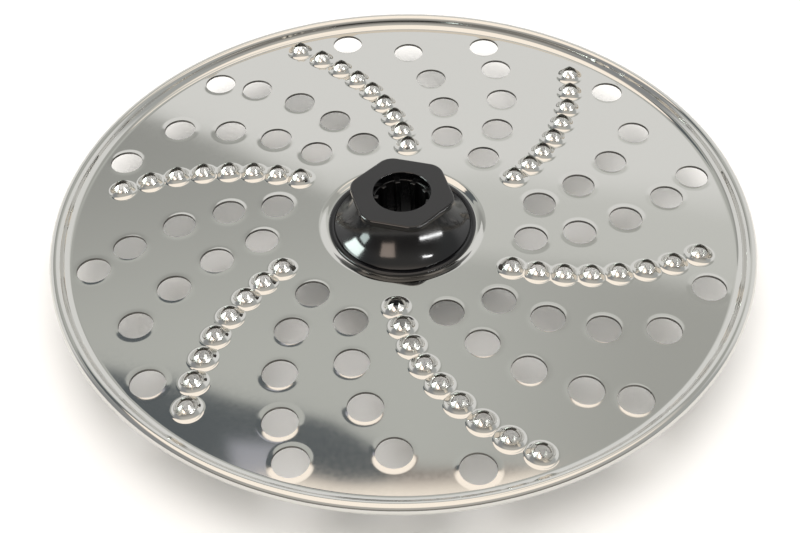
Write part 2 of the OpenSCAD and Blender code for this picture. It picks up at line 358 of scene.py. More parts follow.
@dataclass(frozen=True)
class MouldedPlastic:
    """Black injection-moulded plastic, from a polished or a spark-eroded mould.

    A polished mould gives sharp highlights on near black. An eroded one scatters them into an
    even dark grey.
    """

    name: str
    colour: str
    roughness: float
    roughness_change: float
    texture_mm: float
    texture_height_mm: float
    ior: float = 1.49
    flow_mm: float = 9.0

    def material(self) -> bpy.types.Material:
        """Builds the material."""
        made, tree, shader, place = finish_started(self.name, self.colour)
        skin = add(tree, "ShaderNodeTexNoise",
                   {"Vector": place, "Scale": 1 / (self.texture_mm * MM), "Detail": 3.0})
        flow = add(tree, "ShaderNodeTexNoise",
                   {"Vector": place, "Scale": 1 / (self.flow_mm * MM), "Detail": 1.0})
        rough = add(tree, "ShaderNodeMapRange",
                    {"Value": flow, "From Min": NOISE_LOW, "From Max": NOISE_HIGH,
                     "To Min": self.roughness - self.roughness_change,
                     "To Max": self.roughness + self.roughness_change})
        bump = add(tree, "ShaderNodeBump",
                   {"Height": skin, "Distance": self.texture_height_mm * MM, "Strength": 1.0})
        shader.inputs["IOR"].default_value = self.ior
        tree.links.new(rough.outputs["Result"], shader.inputs["Roughness"])
        tree.links.new(bump.outputs["Normal"], shader.inputs["Normal"])
        return made


SHEET = StainlessSheet()
# Drawing the teeth has stretched the skin of the steel and made it rougher
DRAWN_SHEET = StainlessSheet("drawn_stainless_steel", roughness=0.25, grain_roughness=0.06)
# Fractured steel is duller, and its colour is darkened further as painted shade: the dark line round a hole
# and round the teeth's petals is shade on their cut walls
SHEARED_EDGE_AND_SHADE = BareSteel("sheared_steel_edge_with_painted_shade", "#6F6E6A", 0.5, 0.15, 0.4)
# The die that forms a screw's head leaves faint turned rings
SCREW_STEEL = BareSteel("cold_headed_screw_steel", "#B9B7B2", 0.28, 0.08, 0.25)
GLOSS_HUB = MouldedPlastic("gloss_moulded_abs", "#0B0B0D", 0.12, 0.03, 0.9, 0.002)
SATIN_HUB = MouldedPlastic("satin_moulded_abs", "#171719", 0.4, 0.06, 0.35, 0.004)
GLOSS_RING = MouldedPlastic("gloss_moulded_ring_abs", "#0E0E10", 0.14, 0.03, 0.9, 0.002)
SATIN_SLEEVE = MouldedPlastic("satin_moulded_nylon", "#0A0A0B", 0.3, 0.06, 0.5, 0.004, 1.53)


# Geometry Nodes


def group_with(name: str, inputs: Sequence[tuple[str, str]]) -> tuple[bpy.types.NodeTree, dict[str, str],
                                                                       bpy.types.Node]:
    """Starts a Geometry Nodes tree with named inputs after its geometry.

    Returns the tree, the identifier of each named input, and the input node.
    """
    tree = bpy.data.node_groups.new(name, "GeometryNodeTree")
    tree.interface.new_socket(name="Geometry", in_out="OUTPUT", socket_type="NodeSocketGeometry")
    tree.interface.new_socket(name="Geometry", in_out="INPUT", socket_type="NodeSocketGeometry")
    keys = {label: tree.interface.new_socket(name=label, in_out="INPUT", socket_type=kind).identifier
            for label, kind in inputs}
    return tree, keys, add(tree, "NodeGroupInput")


def end_with_instances(tree: bpy.types.NodeTree, source: bpy.types.Node, count: bpy.types.NodeSocket,
                       x: bpy.types.Node, y: bpy.types.Node, turn: bpy.types.Node | float) -> None:
    """Ends a tree with copies of its geometry at computed places, realized and given their material.

    The turn is each copy's angle about the vertical, in radians. Torn faces get their own material, which on
    the teeth is the dark edge steel with its painted shade.
    """
    place = add(tree, "ShaderNodeCombineXYZ", {"X": x, "Y": y})
    dots = add(tree, "GeometryNodePoints", {"Count": count, "Position": place})
    angle = add(tree, "ShaderNodeCombineXYZ", {"Z": turn})
    copies = add(tree, "GeometryNodeInstanceOnPoints",
                 {"Points": dots, "Instance": source.outputs["Geometry"], "Rotation": angle})
    real = add(tree, "GeometryNodeRealizeInstances", {"Geometry": copies})
    dressed = add(tree, "GeometryNodeSetMaterial", {"Geometry": real, "Material": source.outputs["Material"]})
    torn = add(tree, "GeometryNodeInputNamedAttribute", {"Name": TORN}, data_type="BOOLEAN")
    edged = add(tree, "GeometryNodeSetMaterial",
                {"Geometry": dressed, "Selection": torn, "Material": source.outputs["Torn material"]})
    add(tree, "NodeGroupOutput", {"Geometry": edged})


def on_circle(tree: bpy.types.NodeTree, angle: Value, radius: Value) -> tuple[bpy.types.Node, bpy.types.Node]:
    """Gives the x and the y at an angle and a radius about the spindle axis."""
    shares = [add(tree, "ShaderNodeMath", {0: angle}, operation=name) for name in ("COSINE", "SINE")]
    x, y = (add(tree, "ShaderNodeMath", {0: share, 1: radius}, operation="MULTIPLY") for share in shares)
    return x, y


class RingTree:
    """Geometry Nodes tree that sets copies of a piece evenly round the spindle axis."""

    def __init__(self) -> None:
        """Builds the tree."""
        self.tree, self.keys, source = group_with("ring_about_the_spindle", [
            ("Count", "NodeSocketInt"), ("Radius", "NodeSocketFloat"), ("First angle", "NodeSocketFloat"),
            ("Material", "NodeSocketMaterial"), ("Torn material", "NodeSocketMaterial")])
        tree = self.tree
        step = add(tree, "ShaderNodeMath", {0: 2 * math.pi, 1: source.outputs["Count"]}, operation="DIVIDE")
        index = add(tree, "GeometryNodeInputIndex")
        along = add(tree, "ShaderNodeMath", {0: index, 1: step}, operation="MULTIPLY")
        angle = add(tree, "ShaderNodeMath", {0: along, 1: source.outputs["First angle"]}, operation="ADD")
        x, y = on_circle(tree, angle, source.outputs["Radius"])
        end_with_instances(tree, source, source.outputs["Count"], x, y, angle)


class RowTree:
    """Geometry Nodes tree that sets copies of a tooth along one curved row of the disc."""

    def __init__(self) -> None:
        """Builds the tree."""
        self.tree, self.keys, source = group_with("curved_row", [
            ("Count", "NodeSocketInt"), ("First radius", "NodeSocketFloat"), ("Pitch", "NodeSocketFloat"),
            ("Row circle", "NodeSocketFloat"), ("Start angle", "NodeSocketFloat"),
            ("Material", "NodeSocketMaterial"), ("Torn material", "NodeSocketMaterial")])
        tree = self.tree
        index = add(tree, "GeometryNodeInputIndex")
        along = add(tree, "ShaderNodeMath", {0: index, 1: source.outputs["Pitch"]}, operation="MULTIPLY")
        radius = add(tree, "ShaderNodeMath", {0: along, 1: source.outputs["First radius"]}, operation="ADD")
        share = add(tree, "ShaderNodeMath", {0: radius, 1: source.outputs["Row circle"]}, operation="DIVIDE")
        swing = add(tree, "ShaderNodeMath", {0: share}, operation="ARCSINE")
        angle = add(tree, "ShaderNodeMath", {0: swing, 1: source.outputs["Start angle"]}, operation="ADD")
        x, y = on_circle(tree, angle, radius)
        end_with_instances(tree, source, source.outputs["Count"], x, y, 0.0)


def repeated(name: str, template: bpy.types.Mesh, maker: RingTree | RowTree, material: bpy.types.Material,
             sizes: dict[str, Value]) -> bpy.types.Object:
    """Repeats a template with a Geometry Nodes tree and keeps the result as a plain mesh.

    The sizes are the values of the tree's named inputs, apart from the material.
    """
    obj = linked(name, template)
    modifier = obj.modifiers.new("copies", "NODES")
    modifier.node_group = maker.tree
    for label, value in {**sizes, "Material": material}.items():
        modifier[maker.keys[label]] = value
    return settled(obj)


# Steel disc


@dataclass(frozen=True)
class Rows:
    """Places of the teeth and the plain holes on the disc."""

    circle_d: float = 125.0
    turn_deg: float = 12.7
    count: int = 6
    tooth_first_r: float = 29.7
    tooth_pitch: float = 6.12
    tooth_last_r: float = 79.3
    hole_first_r: float = 33.0
    hole_pitch: float = 12.0
    hole_stagger: float = 3.0
    hole_last_r: float = 78.0

    def place(self, r: float, start_deg: float) -> Point2:
        """Returns the place on a row at a radius, for a row that starts in a direction."""
        angle = math.radians(start_deg) + math.asin(r / self.circle_d)
        return r * math.cos(angle), r * math.sin(angle)

    def start_deg(self, row: float) -> float:
        """Returns the direction in which a row leaves the axis; a fraction lies between rows."""
        return self.turn_deg + row * 360 / self.count

    def first_r(self, row: int) -> float:
        """Returns the radius of a row's first tooth, in steps of a third of the pitch over three rows."""
        return self.tooth_first_r + self.tooth_pitch * ((row + 2) % 3) / 3

    def tooth_count(self, row: int) -> int:
        """Returns the number of teeth in a row."""
        return 1 + math.floor((self.tooth_last_r - self.first_r(row)) / self.tooth_pitch)

    def teeth(self) -> list[Point2]:
        """Returns the place of every tooth."""
        return [self.place(self.first_r(row) + self.tooth_pitch * j, self.start_deg(row))
                for row in range(self.count) for j in range(self.tooth_count(row))]

    def holes(self) -> list[Point2]:
        """Lays out the plain holes: a straight file and a staggered one between each two rows of teeth."""
        inner = [self.hole_first_r + self.hole_pitch * j for j in range(4)] + [self.hole_last_r]
        outer = [self.hole_first_r + self.hole_stagger + self.hole_pitch * j for j in range(4)]
        found = []
        for row in range(self.count):
            found += [self.place(r, self.start_deg(row + 1 / 3)) for r in inner]
            found += [self.place(r, self.start_deg(row + 2 / 3)) for r in outer]
            found.append(self.place(self.hole_last_r, self.start_deg(row + 5 / 6)))
        return found


@dataclass(frozen=True)
class Crown:
    """One drawn tooth above its shoulder: five pointed petals round a star-shaped opening."""

    petals: int = 5
    neck_r: float = 2.45
    tip_r: float = 1.2
    slit_z: float = 1.1
    tip_z: float = 2.7
    wall: float = 0.32
    lean: float = 1.4
    sink: float = 0.12
    columns: int = 40
    rows: int = 5
    joined_share: float = 0.36
    thinning: float = 0.45

    def skin(self, share: float, top: float, inset: float) -> tuple[float, float]:
        """Returns the radius and the height above the deck of the petal's skin.

        The share runs from the petal's base to its edge, the top is the share of the full height that
        this column of the petal reaches, and the inset is measured in from the outer skin.
        """
        rise = share * top
        z = self.slit_z - self.sink + (self.tip_z - self.slit_z + self.sink) * rise
        return self.neck_r - (self.neck_r - self.tip_r) * rise**self.lean - inset, z

    def mesh(self, deck_z: float) -> bpy.types.Mesh:
        """Builds one crown as a closed shell, on the axis and over the deck."""
        points: list[tuple[float, float, float]] = []
        layers = [(k / (self.rows - 1), 0.0) for k in range(self.rows)]
        layers += [(k / (self.rows - 1), self.wall) for k in reversed(range(self.rows))]
        for share, inset in layers:
            for i in range(self.columns):
                angle = 2 * math.pi * i / self.columns
                phase = (self.petals * (angle - math.pi / 2) / (2 * math.pi)) % 1
                petal = 1 - 2 * min(phase, 1 - phase)
                top = self.joined_share + (1 - self.joined_share) * petal
                r, z = self.skin(share, top, inset * (1 - self.thinning * share * top))
                points.append((r * math.cos(angle), r * math.sin(angle), deck_z + z))
        n, m = self.columns, len(layers)
        faces = [(k * n + i, k * n + (i + 1) % n, (k + 1) % m * n + (i + 1) % n, (k + 1) % m * n + i)
                 for k in range(m) for i in range(n)]
        mesh = outward(plain_mesh("tooth_crown", points, faces))
        torn = mesh.attributes.new(TORN, "BOOLEAN", "FACE")
        for face in mesh.polygons:
            torn.data[face.index].value = self.rows - 1 <= face.index // n < m - 1
        return mesh


@dataclass(frozen=True)
class PressedSheet:
    """The steel disc: flat deck, sunk seat, drawn teeth, rimmed holes and rolled edge."""

    rows: Rows = Rows()
    crown: Crown = Crown()
    sheet_t: float = 0.6
    deck_z: float = 14.0
    deck_r: float = 83.3
    rim_r: float = 88.45
    rim_rise: float = 2.9
    rim_roll_r: float = 1.5
    rim_curl_deg: float = 50.0
    centre_hole_r: float = 8.9
    seat_r: float = 19.0
    seat_drop: float = 0.5
    seat_slope_w: float = 2.4
    screw_circle_r: float = 12.4
    screw_hole_r: float = 1.55
    screw_turn_deg: float = 75.0
    hole_r: float = 4.2
    hole_lip_w: float = 1.5
    hole_lip_h: float = 0.045
    bulge_r: float = 4.0
    bulge_power: float = 2.2
    around: int = 288
    seat_around: int = 144
    seat_steps: int = 8
    hole_around: int = 40
    screw_around: int = 24
    support: float = 0.15
    rim_support: float = 0.25
    rim_clearance: float = 0.3
    near: float = 14.0
    fillet_steps: int = 8
    roll_steps: int = 24

    def seat_height(self, r: float) -> float:
        """Returns the height of the pressed seat from the deck: a floor and a slope of two equal arcs."""
        bend = (self.seat_slope_w**2 + self.seat_drop**2) / (4 * self.seat_drop)
        out = r - self.seat_r
        if out >= self.seat_slope_w:
            return 0.0
        if out <= 0:
            return -self.seat_drop
        if out < self.seat_slope_w / 2:
            return bend - math.sqrt(bend**2 - out**2) - self.seat_drop
        return math.sqrt(bend**2 - (self.seat_slope_w - out) ** 2) - bend

    def lip(self, r: float) -> float:
        """Returns the height of the raised lip at a distance from a hole's centre."""
        u = (r - self.hole_r) / self.hole_lip_w
        return self.hole_lip_h * (1 - max(0.0, u)) ** 2 if u < 1 else 0.0

    def bulge(self, r: float) -> float:
        """Returns the share of a tooth's shoulder height at a distance, from 1 at the crown's foot to 0."""
        u = (r - self.crown.neck_r) / (self.bulge_r - self.crown.neck_r)
        if u >= 1:
            return 0.0
        return (1 - max(0.0, u)) ** self.bulge_power

    def features(self) -> list[Feature]:
        """Lists the holes, then the teeth."""
        holes = [(c, self.hole_r + self.hole_lip_w, self.lip, False) for c in self.rows.holes()]
        teeth = [(c, self.bulge_r, self.bulge, True) for c in self.rows.teeth()]
        return holes + teeth

    def screw_places(self) -> list[Point2]:
        """Returns the centres of the screws' holes."""
        return circle((0, 0), self.screw_circle_r, 3, math.radians(self.screw_turn_deg))

    def ring_radii(self, is_tooth: bool) -> list[float]:
        """Returns the radii of the rings of points round a hole or a tooth, from its edge outwards."""
        inner = self.crown.neck_r if is_tooth else self.hole_r
        width = (self.bulge_r if is_tooth else self.hole_r + self.hole_lip_w) - inner
        shares = (0.0, 0.15, 0.32, 0.5, 0.68, 0.84, 1.0, 1.08)
        return [inner + width * s for s in shares]

    def deck_points(self) -> tuple[list[Point2], list[tuple[int, int]], list[float]]:
        """Lays out the deck's points.

        Returns the points, the edges that stay, and the height of each point from the deck.
        """
        points: list[Point2] = []
        edges: list[tuple[int, int]] = []
        features = self.features()

        def loop(ring: list[Point2]) -> None:
            """Adds a ring of points whose edges stay."""
            first = len(points)
            points.extend(ring)
            edges.extend((first + i, first + (i + 1) % len(ring)) for i in range(len(ring)))

        loop(circle((0, 0), self.deck_r, self.around))
        loop(circle((0, 0), self.deck_r - self.rim_support, self.around))
        for k in range(self.seat_steps + 1):
            loop(circle((0, 0), self.seat_r + self.seat_slope_w * k / self.seat_steps, self.seat_around))
        for r in (self.seat_r + self.seat_slope_w + self.support, self.seat_r - self.support,
                  self.centre_hole_r):
            loop(circle((0, 0), r, self.seat_around))
        for place in self.screw_places():
            loop(circle(place, self.screw_hole_r, self.screw_around))
        for index, (centre, _, _, is_tooth) in enumerate(features):
            near = [f for i, f in enumerate(features) if i != index and math.dist(f[0], centre) < self.near]
            count = self.crown.columns if is_tooth else self.hole_around
            for k, r in enumerate(self.ring_radii(is_tooth)):
                ring = circle(centre, r, count)
                if k == 0:
                    loop(ring)
                    continue
                own = r - (self.bulge_r if is_tooth else self.hole_r + self.hole_lip_w)
                points.extend(p for p in ring
                              if all(math.dist(p, f[0]) - f[1] > own for f in near)
                              and math.hypot(*p) < self.deck_r - self.rim_clearance)
        heights = [self.height(p, features) for p in points]
        return points, edges, heights

    def height(self, p: Point2, features: list[Feature]) -> float:
        """Returns the height of the upper face at a place, from the deck."""
        z = self.seat_height(math.hypot(*p))
        flat = 1.0
        for centre, reach, rule, is_tooth in features:
            distance = math.dist(p, centre)
            if distance < reach:
                if is_tooth:
                    flat *= 1 - rule(distance)
                else:
                    z += rule(distance)
        return z + self.crown.slit_z * (1 - flat)

    def is_sheet(self, p: Point2) -> bool:
        """Tells whether there is steel at a place on the deck."""
        r = math.hypot(*p)
        if not self.centre_hole_r < r < self.deck_r:
            return False
        cuts = [(c, self.hole_r) for c in self.rows.holes()]
        cuts += [(c, self.crown.neck_r) for c in self.rows.teeth()]
        cuts += [(place, self.screw_hole_r) for place in self.screw_places()]
        return all(math.dist(p, c) > cut_r for c, cut_r in cuts)

    def rim_profile(self) -> list[Point2]:
        """Draws the rolled rim's upper profile after the deck: a fillet that runs into the roll.

        Each point is a radius and a height from the deck.
        """
        centre = (self.rim_r - self.rim_roll_r, self.rim_rise - self.rim_roll_r)
        run = centre[0] - self.deck_r
        fillet = (run**2 + centre[1] ** 2 - self.rim_roll_r**2) / (2 * (self.rim_roll_r + centre[1]))
        meet = math.atan2(centre[1] - fillet, run)
        found = []
        for k in range(1, self.fillet_steps + 1):
            a = -math.pi / 2 + (meet + math.pi / 2) * k / self.fillet_steps
            found.append((self.deck_r + fillet * math.cos(a), fillet + fillet * math.sin(a)))
        start, end = math.pi + meet, -math.pi / 2 - math.radians(self.rim_curl_deg)
        for k in range(1, self.roll_steps + 1):
            a = start + (end - start) * k / self.roll_steps
            found.append((centre[0] + self.rim_roll_r * math.cos(a),
                          centre[1] + self.rim_roll_r * math.sin(a)))
        return found

    def surface(self) -> bpy.types.Mesh:
        """Builds the upper face of the whole sheet, facing upwards."""
        flat, edges, heights = self.deck_points()
        made = delaunay_2d_cdt([Vector(p) for p in flat], edges, [], 0, 1e-5)
        made_points, _, made_faces, origins = made[:4]
        spots = [(p.x, p.y) for p in made_points]
        features = self.features()
        levels = [heights[o[0]] if o else self.height(s, features) for s, o in zip(spots, origins)]
        points = [(s[0], s[1], self.deck_z + z) for s, z in zip(spots, levels)]
        faces = []
        for face in made_faces:
            middle = (sum(spots[i][0] for i in face) / 3, sum(spots[i][1] for i in face) / 3)
            if self.is_sheet(middle):
                faces.append(tuple(face))
        edge_at = {o[0]: i for i, o in enumerate(origins) if o}
        ring = [edge_at[i] for i in range(self.around)]
        for r, z in self.rim_profile():
            first = len(points)
            points += [(x, y, self.deck_z + z) for x, y in circle((0, 0), r, self.around)]
            after = list(range(first, first + self.around))
            n = self.around
            faces += [(ring[i], after[i], after[(i + 1) % n], ring[(i + 1) % n]) for i in range(n)]
            ring = after
        mesh = plain_mesh("pressed_sheet", points, faces)
        work = bmesh.new()
        work.from_mesh(mesh)
        bmesh.ops.delete(work, geom=[v for v in work.verts if not v.link_faces], context="VERTS")
        for face in work.faces:
            centre = face.calc_center_median()
            if math.hypot(centre.x, centre.y) < self.deck_r * MM and face.normal.z < 0:
                face.normal_flip()
        work.to_mesh(mesh)
        work.free()
        return mesh

    def build(self, material: bpy.types.Material, drawn: bpy.types.Material,
              edge: bpy.types.Material) -> bpy.types.Object:
        """Builds and dresses the sheet and its rows of teeth.

        The drawn steel is the teeth's, and the edge is the finish of every punched edge, darker than the
        steel partly as painted shade.
        """
        mesh = self.surface()
        mesh.materials.append(material)
        mesh.materials.append(edge)
        sheet = linked("pressed_sheet", mesh)
        wall = sheet.modifiers.new("sheet thickness", "SOLIDIFY")
        wall.thickness = self.sheet_t * MM
        wall.offset = -1.0
        # The cut walls get the edge steel, whose dark colour is partly painted shade
        wall.material_offset_rim = 1
        settled(sheet, 50.0)
        hand_over(sheet, "pressed_stainless_steel", "grating_disc")
        maker = RowTree()
        for row in range(self.rows.count):
            teeth = repeated(f"tooth_row_{row + 1}", self.crown.mesh(self.deck_z), maker, drawn, {
                "Count": self.rows.tooth_count(row), "First radius": self.rows.first_r(row) * MM,
                "Pitch": self.rows.tooth_pitch * MM, "Row circle": self.rows.circle_d * MM,
                "Torn material": edge,
                "Start angle": math.radians(self.rows.start_deg(row))})
            hand_over(teeth, "pressed_stainless_steel", "grating_disc")
        return sheet


# Hub


@dataclass(frozen=True)
class UpperHub:
    """The bell with its hexagonal collar."""

    top_z: float = 24.5
    seat_z: float = 13.5
    shelf_z: float = 13.8
    foot_edge_z: float = 14.15
    root_r: float = 15.9
    foot_r: float = 17.2
    neck_r: float = 11.8
    handle: Point2 = (13.9, 16.625)
    bore_r: float = 7.25
    core_r: float = 8.6
    sleeve_top_z: float = 22.1
    collar_h: float = 2.0
    collar: Hexagon = Hexagon(45.0, 12.1, 4.5)
    edge_r: float = 0.55
    foot_low_edge_r: float = 0.08
    foot_high_edge_r: float = 0.12
    mouth_edge_r: float = 0.22
    bell_steps: int = 24
    satin_depth: float = 0.1
    satin_normal_z: float = 0.95

    def corners(self) -> list[Corner]:
        """Draws the profile, from the seat outwards and up, and down the bore."""
        flat = self.collar.half_af
        under = self.top_z - self.collar_h
        foot, handle = Vector((self.foot_r, self.foot_edge_z)), Vector(self.handle)
        neck = Vector((self.neck_r, under))
        bell = []
        for k in range(1, self.bell_steps):
            u = k / self.bell_steps
            p = (1 - u) ** 2 * foot + 2 * u * (1 - u) * handle + u**2 * neck
            bell.append(Corner(p.x, p.y))
        return [
            Corner(self.core_r, self.seat_z), Corner(self.root_r, self.seat_z),
            Corner(self.root_r, self.shelf_z), Corner(self.foot_r, self.shelf_z, self.foot_low_edge_r),
            Corner(self.foot_r, self.foot_edge_z, self.foot_high_edge_r), *bell, Corner(self.neck_r, under),
            Corner(flat, under, self.edge_r, Outline.HEXAGON),
            Corner(flat, self.top_z, self.edge_r, Outline.HEXAGON),
            Corner(self.bore_r, self.top_z, self.mouth_edge_r), Corner(self.bore_r, self.sleeve_top_z),
            Corner(self.core_r, self.sleeve_top_z)]

    def build(self, gloss: bpy.types.Material, satin: bpy.types.Material) -> None:
        """Builds and dresses the upper hub, glossy but for the satin top of its collar."""
        hub = Loft(self.corners(), self.collar, around=216).piece("upper_hub_moulding", 40, gloss, satin)
        for face in hub.data.polygons:
            is_level = face.normal.z > self.satin_normal_z
            if is_level and face.center.z > (self.top_z - self.satin_depth) * MM:
                face.material_index = 1
        hand_over(hub, "hub_plastic", "upper_hub")


@dataclass(frozen=True)
class SeatRing:
    """The ring under the bell's foot, with a round bead outside it."""

    inner_r: float = 16.05
    bead_in_r: float = 17.35
    outer_r: float = 18.8
    seat_z: float = 13.5
    shelf_z: float = 13.8
    top_z: float = 14.1
    bead_steps: int = 16

    def build(self, material: bpy.types.Material) -> None:
        """Builds and dresses the ring."""
        half = (self.outer_r - self.bead_in_r) / 2
        rise = self.top_z - self.shelf_z
        turns = [math.pi * k / self.bead_steps for k in range(self.bead_steps + 1)]
        bead = [Corner(self.bead_in_r + half * (1 + math.cos(a)), self.shelf_z + rise * math.sin(a))
                for a in turns]
        corners = [Corner(self.inner_r, self.seat_z), Corner(self.outer_r, self.seat_z), *bead,
                   Corner(self.inner_r, self.shelf_z)]
        hand_over(Loft(corners).piece("seat_ring_bead", 50, material), "ring_plastic", "seat_ring")


@dataclass(frozen=True)
class DriveSleeve:
    """The splined lining of the bore, with its hexagonal flange."""

    bore_r: float = 7.0
    outer_r: float = 8.5
    bottom_z: float = 3.0
    top_z: float = 22.1
    flange_low_z: float = 10.9
    flange_high_z: float = 12.9
    flange: Hexagon = Hexagon(105.0, 9.5, 0.4)
    spline_tip_r: float = 6.0
    spline_w: float = 1.4
    spline_count: int = 10
    spline_turn_deg: float = 27.0
    spline_edge_r: float = 0.22
    edge_r: float = 0.15

    def spline(self) -> bpy.types.Mesh:
        """Builds one spline as a bar with round edges, from its tip into the sleeve's wall."""
        work = bmesh.new()
        depth = (self.bore_r + self.outer_r) / 2 - self.spline_tip_r
        height = self.top_z - self.bottom_z
        size = Matrix.Diagonal((depth * MM, self.spline_w * MM, height * MM, 1.0))
        place = Matrix.Translation((depth / 2 * MM, 0, (self.bottom_z + height / 2) * MM))
        bmesh.ops.create_cube(work, size=1.0, matrix=place @ size)
        bmesh.ops.bevel(work, geom=list(work.edges), offset=self.spline_edge_r * MM, segments=3,
                        profile=0.5, affect="EDGES", clamp_overlap=True)
        mesh = bpy.data.meshes.new("spline")
        work.to_mesh(mesh)
        work.free()
        return mesh

    def build(self, material: bpy.types.Material, maker: RingTree) -> None:
        """Builds and dresses the sleeve and its splines."""
        edge = self.edge_r
        corners = [
            Corner(self.bore_r, self.bottom_z, edge), Corner(self.outer_r, self.bottom_z, edge),
            Corner(self.outer_r, self.flange_low_z),
            Corner(self.flange.half_af, self.flange_low_z, edge, Outline.HEXAGON),
            Corner(self.flange.half_af, self.flange_high_z, edge, Outline.HEXAGON),
            Corner(self.outer_r, self.flange_high_z),
            Corner(self.outer_r, self.top_z, edge), Corner(self.bore_r, self.top_z, edge)]
        tube = Loft(corners, self.flange).piece("drive_sleeve_tube", 40, material)
        hand_over(tube, "sleeve_plastic", "drive_sleeve")
        splines = repeated("drive_splines", self.spline(), maker, material, {
            "Count": self.spline_count, "Radius": self.spline_tip_r * MM,
            "First angle": math.radians(self.spline_turn_deg)})
        hand_over(splines, "sleeve_plastic", "drive_sleeve")


@dataclass(frozen=True)
class LowerHub:
    """The half of the hub under the sheet, taken from its CAD node and given moulded edges."""

    edge_r: float = 0.2
    sharp_deg: float = 35.0
    flat_deg: float = 0.5
    merge_mm: float = 0.001

    def build(self, material: bpy.types.Material) -> None:
        """Builds and dresses the lower hub."""
        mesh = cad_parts["lower_hub"].data.copy()
        mesh.materials.clear()
        work = bmesh.new()
        work.from_mesh(mesh)
        bmesh.ops.remove_doubles(work, verts=work.verts, dist=self.merge_mm * MM)
        bmesh.ops.dissolve_limit(work, angle_limit=math.radians(self.flat_deg), verts=work.verts,
                                 edges=work.edges)
        work.to_mesh(mesh)
        work.free()
        hub = linked("lower_hub_moulding", mesh)
        bevel = hub.modifiers.new("moulded edges", "BEVEL")
        bevel.width = self.edge_r * MM
        bevel.segments = 2
        bevel.limit_method = "ANGLE"
        bevel.angle_limit = math.radians(self.sharp_deg)
        settled(hub, self.sharp_deg).data.materials.append(material)
        hand_over(hub, "hub_plastic", "lower_hub")


@dataclass(frozen=True)
class HubScrews:
    """Pan-head screws that draw the hub's halves together through the sheet."""

    count: int = 3
    circle_r: float = 12.4
    turn_deg: float = 75.0
    seat_z: float = 7.5
    head_h: float = 1.8
    head_r: float = 2.5
    shank_r: float = 1.25
    core_r: float = 1.0
    end_z: float = 17.1
    thread_pitch: float = 0.6
    root_share: float = 0.2
    rise_share: float = 0.55
    crest_share: float = 0.65
    drive_r: float = 1.1
    drive_share: float = 0.6
    drive_edge_r: float = 0.08
    head_edge_r: float = 0.45
    seat_edge_r: float = 0.12
    plain_l: float = 1.0
    point_l: float = 0.6
    point_r: float = 0.5

    def screw(self) -> bpy.types.Mesh:
        """Builds one screw on the axis, head down, with its driver socket and thread."""
        low = self.seat_z - self.head_h
        half = self.drive_r * math.cos(math.pi / 6)
        corners = [
            Corner(half, low + self.drive_share * self.head_h, 0.0, Outline.HEXAGON),
            Corner(half, low, self.drive_edge_r, Outline.HEXAGON),
            Corner(self.head_r, low, self.head_edge_r),
            Corner(self.head_r, self.seat_z, self.seat_edge_r), Corner(self.shank_r, self.seat_z)]
        turns = int((self.end_z - self.seat_z - 2 * self.plain_l) / self.thread_pitch)
        for k in range(turns):
            z = self.seat_z + self.plain_l + k * self.thread_pitch
            corners += [Corner(self.core_r, z), Corner(self.core_r, z + self.root_share * self.thread_pitch),
                        Corner(self.shank_r, z + self.rise_share * self.thread_pitch),
                        Corner(self.shank_r, z + self.crest_share * self.thread_pitch)]
        corners += [Corner(self.core_r, self.end_z - self.point_l), Corner(self.point_r, self.end_z)]
        return Loft(corners, Hexagon(0.0, half, 0.1), Ends.CAPPED, around=36, arc_steps=3).mesh("screw")

    def build(self, material: bpy.types.Material, maker: RingTree) -> None:
        """Builds and dresses the screws."""
        screws = repeated("hub_screw_set", self.screw(), maker, material, {
            "Count": self.count, "Radius": self.circle_r * MM, "First angle": math.radians(self.turn_deg)})
        hand_over(screws, "screw_steel", "hub_screws")


# Studio


@dataclass(frozen=True)
class Panel:
    """Soft light panel: direction from the hub, angular size, radiance and colour."""

    name: str
    azimuth_deg: float
    elevation_deg: float
    width_deg: float
    height_deg: float
    radiance: float
    colour: str = "#FFFFFF"
    roll_deg: float = 0.0


@dataclass(frozen=True)
class Border:
    """Border in the sky that rises with the azimuth, in degrees, up to a last azimuth."""

    rise: float
    last_deg: float
    at: float
    width: float


